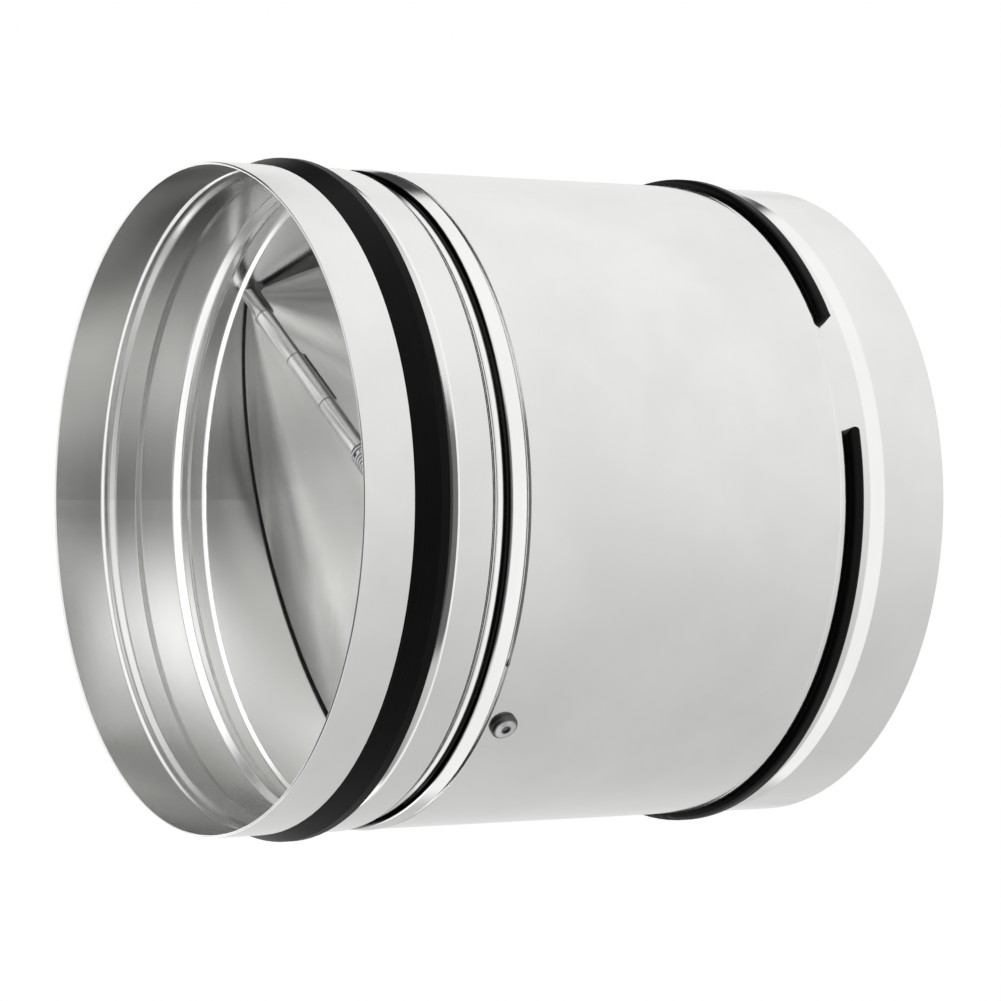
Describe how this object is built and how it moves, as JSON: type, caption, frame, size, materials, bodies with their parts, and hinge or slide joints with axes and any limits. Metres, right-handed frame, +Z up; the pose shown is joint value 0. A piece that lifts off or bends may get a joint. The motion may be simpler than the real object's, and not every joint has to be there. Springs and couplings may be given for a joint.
{
  "type": "duct non-return valve",
  "caption": "Round duct non-return valve: a sealed steel sleeve with sprung half-round flaps on a cross spindle that let air through one way.",
  "frame": {"origin": "on the duct axis at mid-length, which is the centre of the bounding box", "axes": "+X along the duct from the inlet rim to the outlet rim, +Z up, +Y away from the side that carries the rivet"},
  "size_m": [0.16, 0.1626, 0.1626],
  "materials": {
    "galvanised_sheet": "rolled galvanised sheet steel, bright, with soft stretched reflections",
    "flap_sheet": "mill-finish aluminium sheet with fine rolling lines",
    "seal_rubber": "black extruded sealing rubber, satin",
    "strip_rubber": "black closed-cell foam rubber strip, matt",
    "spindle_steel": "bright drawn steel rod",
    "bush_steel": "bright rolled steel tube",
    "spring_steel": "drawn stainless spring wire",
    "rivet_aluminium": "aluminium blind rivet body",
    "mandrel_steel": "broken steel stem"
  },
  "bodies": {
    "sleeve": {"casing": "galvanised_sheet", "inlet_spigot": "galvanised_sheet", "outlet_spigot": "galvanised_sheet", "inlet_seal": "seal_rubber", "outlet_seal": "seal_rubber", "spindle": "spindle_steel", "far_bush": "bush_steel", "near_bush": "bush_steel", "far_washer": "spindle_steel", "near_washer": "spindle_steel", "spring_coil": "spring_steel", "near_rivet": "rivet_aluminium", "near_rivet_mandrel": "mandrel_steel", "top_rivet": "rivet_aluminium", "top_rivet_mandrel": "mandrel_steel"},
    "upper_flap": {"upper_flap": "flap_sheet", "upper_edge_strip": "strip_rubber", "upper_spring_leg": "spring_steel"},
    "lower_flap": {"lower_flap": "flap_sheet", "lower_edge_strip": "strip_rubber", "lower_spring_leg": "spring_steel"}
  },
  "joints": [
    {"name": "upper_flap_hinge", "type": "hinge", "parent": "sleeve", "child": "upper_flap", "pos_m": [-0.036, -0.00569, 0.0081], "axis": [0, 0.8181, 0.575], "range_deg": [-35.5, 20.2], "stiffness_Nm_per_rad": 0.0045, "springref_deg": -43.58},
    {"name": "lower_flap_hinge", "type": "hinge", "parent": "sleeve", "child": "lower_flap", "pos_m": [-0.036, -0.00569, 0.0081], "axis": [0, -0.8181, -0.575], "range_deg": [0, 55.7], "stiffness_Nm_per_rad": 0.0045, "springref_deg": -20.05}
  ]
}
